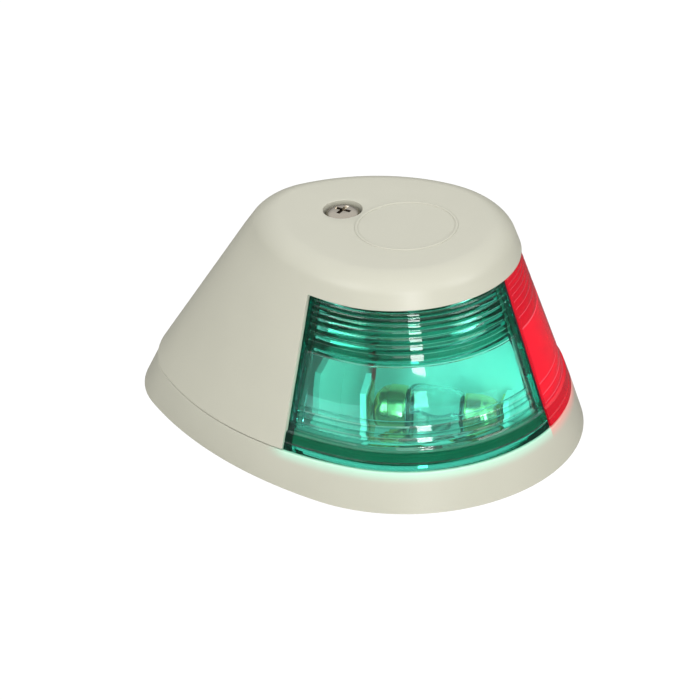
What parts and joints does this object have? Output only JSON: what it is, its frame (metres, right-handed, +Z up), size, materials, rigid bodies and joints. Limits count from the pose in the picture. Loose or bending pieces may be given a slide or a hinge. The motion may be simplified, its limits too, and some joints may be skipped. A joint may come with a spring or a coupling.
{
  "type": "navigation light",
  "caption": "Bi-colour bow navigation light: drafted egg-shaped housing on a low base, with a green and a red wrap-round lens and a lift-off cover held by one screw.",
  "frame": {"origin": "on the deck face, under the middle of the base's length and width", "axes": "+X towards the boat's bow, +Z up from the deck, -Y starboard (green lens), +Y port (red lens)"},
  "size_m": [0.11, 0.0784, 0.052],
  "materials": {
    "housing_plastic": "satin moulded ivory",
    "holder_plastic": "satin moulded",
    "screen_plastic": "matt black",
    "green_lens": "clear green acrylic, moulded ridges",
    "red_lens": "clear red acrylic, moulded ridges",
    "bulb_glass": "clear",
    "foam": "closed-cell foam",
    "rubber": "matt black",
    "brass": "bright",
    "steel": "polished stainless steel",
    "tungsten": "drawn wire"
  },
  "bodies": {
    "base": {"base": "housing_plastic", "base_gasket": "foam", "cover_seal": "rubber", "threaded_insert": "brass", "light_screen": "holder_plastic", "bulb_holder_starboard": "holder_plastic", "holder_screw_right_starboard": "steel", "holder_screw_left_starboard": "steel", "contact_rear_starboard": "brass", "contact_front_starboard": "brass", "contact_rivet_rear_starboard": "brass", "contact_rivet_front_starboard": "brass", "terminal_screw_rear_starboard": "steel", "terminal_screw_front_starboard": "steel", "bulb_glass_starboard": "bulb_glass", "bulb_cap_rear_starboard": "brass", "bulb_cap_front_starboard": "brass", "bulb_filament_starboard": "tungsten", "lead_wire_rear_starboard": "tungsten", "lead_wire_front_starboard": "tungsten", "bulb_holder_port": "holder_plastic", "holder_screw_right_port": "steel", "holder_screw_left_port": "steel", "contact_rear_port": "brass", "contact_front_port": "brass", "contact_rivet_rear_port": "brass", "contact_rivet_front_port": "brass", "terminal_screw_rear_port": "steel", "terminal_screw_front_port": "steel", "bulb_glass_port": "bulb_glass", "bulb_cap_rear_port": "brass", "bulb_cap_front_port": "brass", "bulb_filament_port": "tungsten", "lead_wire_rear_port": "tungsten", "lead_wire_front_port": "tungsten"},
    "cover": {"cover": "housing_plastic", "green_lens": "green_lens", "red_lens": "red_lens", "lens_divider": "screen_plastic"},
    "screw_washer": {"screw_washer": "rubber"},
    "cover_screw": {"cover_screw": "steel"}
  },
  "joints": [
    {"name": "cover_lift", "type": "slide", "parent": "base", "child": "cover", "axis": [0, 0, 1], "range_m": [0, 0.045]},
    {"name": "screw_raise", "type": "slide", "parent": "cover", "child": "screw_washer", "axis": [0, 0, 1], "range_m": [0, 0.00953]},
    {"name": "screw_turn", "type": "hinge", "parent": "screw_washer", "child": "cover_screw", "pos_m": [-0.001, 0, 0.0493], "axis": [0, 0, 1], "range_deg": [0, 4320.1]}
  ],
  "couplings": [
    {"joint": "screw_turn", "follows": "screw_raise", "rad_per_m": 7915.8}
  ]
}
